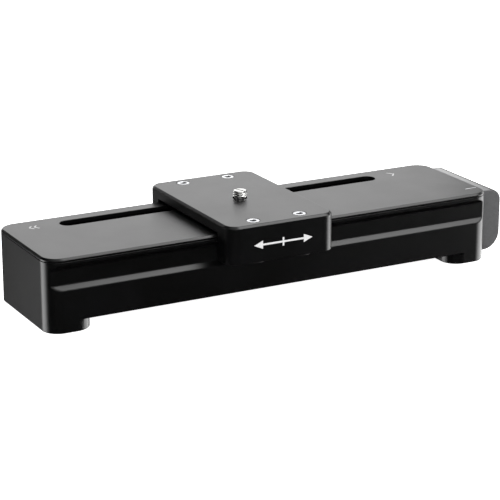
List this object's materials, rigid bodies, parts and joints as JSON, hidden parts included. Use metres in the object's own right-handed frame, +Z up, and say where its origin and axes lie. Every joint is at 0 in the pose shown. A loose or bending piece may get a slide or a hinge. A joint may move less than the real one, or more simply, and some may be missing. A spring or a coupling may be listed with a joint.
{
  "type": "camera slider",
  "caption": "Low motorised camera slider: grooved housing on two foot bars, slotted top plate and a wide carriage on rollers with a camera stud.",
  "frame": {"origin": "on the standing surface, below the centre of the whole slider with its carriage at rest", "axes": "+X along the slider towards the end block, -Y towards its front, +Z up"},
  "size_m": [0.3608, 0.1254, 0.066],
  "materials": {
    "black_anodised": "satin black anodised, bead-blasted",
    "aluminium": "machined",
    "steel": "bright zinc-plated",
    "bright_steel": "polished",
    "motor_black": "satin black paint",
    "black_plastic": "moulded satin",
    "grey_plastic": "moulded satin, mid grey",
    "roller_plastic": "turned acetal",
    "rubber": "matt moulded",
    "battery_wrap": "shrink wrap",
    "board_green": "solder resist",
    "light_guide": "clear moulded"
  },
  "bodies": {
    "housing": {"housing": "black_anodised", "top_plate": "black_anodised", "heat_sink": "aluminium", "cover_screw_1": "steel", "cover_screw_2": "steel", "cover_screw_3": "steel", "cover_screw_4": "steel", "large_thread_bush": "steel", "small_thread_bush_front": "steel", "small_thread_bush_rear": "steel", "motor_bracket": "steel", "motor_bracket_screw_1": "steel", "motor_bracket_screw_2": "steel", "idler_bracket": "steel", "idler_bracket_screw_1": "steel", "idler_bracket_screw_2": "steel", "idler_axle": "steel", "end_block_screw_1": "steel", "end_block_screw_2": "steel", "charge_port": "steel", "trigger_port": "steel", "motor_screw_1": "steel", "motor_screw_2": "steel", "motor_screw_3": "steel", "motor_screw_4": "steel", "board_screw_1": "steel", "board_screw_2": "steel", "board_screw_3": "steel", "board_screw_4": "steel", "motor": "motor_black", "end_block": "grey_plastic", "button_switch": "black_plastic", "foot_pad_left": "rubber", "foot_pad_right": "rubber", "drive_belt": "rubber", "battery_pack": "battery_wrap", "control_board": "board_green", "status_light": "light_guide"},
    "drive": {"drive_pulley": "aluminium", "motor_shaft": "steel"},
    "idler": {"idler_pulley": "aluminium"},
    "button": {"power_button": "black_plastic"},
    "carriage": {"carriage": "black_anodised", "camera_stud": "bright_steel", "belt_clamp": "aluminium", "clamp_screw_1": "steel", "clamp_screw_2": "steel", "axle_bolt_front_left": "steel", "axle_bolt_front_right": "steel", "axle_bolt_rear_left": "steel", "axle_bolt_rear_right": "steel", "axle_clip_front_left": "steel", "axle_clip_front_right": "steel", "axle_clip_rear_left": "steel", "axle_clip_rear_right": "steel"},
    "roller_front_left": {"roller_front_left": "roller_plastic"},
    "roller_front_right": {"roller_front_right": "roller_plastic"},
    "roller_rear_left": {"roller_rear_left": "roller_plastic"},
    "roller_rear_right": {"roller_rear_right": "roller_plastic"}
  },
  "joints": [
    {"name": "carriage_travel", "type": "slide", "parent": "housing", "child": "carriage", "axis": [1, 0, 0], "range_m": [-0.1, 0.1]},
    {"name": "drive_spin", "type": "hinge", "parent": "housing", "child": "drive", "pos_m": [-0.1469, 0.0179, 0.0434], "axis": [0, 0, 1], "range_deg": [-602, 602]},
    {"name": "idler_spin", "type": "hinge", "parent": "housing", "child": "idler", "pos_m": [0.1311, 0.0179, 0.0434], "axis": [0, 0, 1], "range_deg": [-602, 602]},
    {"name": "button_press", "type": "slide", "parent": "housing", "child": "button", "axis": [-1, 0, 0], "range_m": [0, 0.0008], "stiffness_N_per_m": 800},
    {"name": "roller_spin_front_left", "type": "hinge", "parent": "carriage", "child": "roller_front_left", "pos_m": [-0.03396, -0.0513, 0.0382], "axis": [0, 0, 1], "range_deg": [-700, 700]},
    {"name": "roller_spin_front_right", "type": "hinge", "parent": "carriage", "child": "roller_front_right", "pos_m": [0.00176, -0.0513, 0.0382], "axis": [0, 0, 1], "range_deg": [-700, 700]},
    {"name": "roller_spin_rear_left", "type": "hinge", "parent": "carriage", "child": "roller_rear_left", "pos_m": [-0.03396, 0.0513, 0.0382], "axis": [0, 0, 1], "range_deg": [-700, 700]},
    {"name": "roller_spin_rear_right", "type": "hinge", "parent": "carriage", "child": "roller_rear_right", "pos_m": [0.00176, 0.0513, 0.0382], "axis": [0, 0, 1], "range_deg": [-700, 700]}
  ],
  "couplings": [
    {"joint": "drive_spin", "follows": "carriage_travel", "rad_per_m": -104.71},
    {"joint": "idler_spin", "follows": "carriage_travel", "rad_per_m": -104.71},
    {"joint": "roller_spin_front_left", "follows": "carriage_travel", "rad_per_m": 121.36},
    {"joint": "roller_spin_front_right", "follows": "carriage_travel", "rad_per_m": 121.36},
    {"joint": "roller_spin_rear_left", "follows": "carriage_travel", "rad_per_m": -121.36},
    {"joint": "roller_spin_rear_right", "follows": "carriage_travel", "rad_per_m": -121.36}
  ]
}
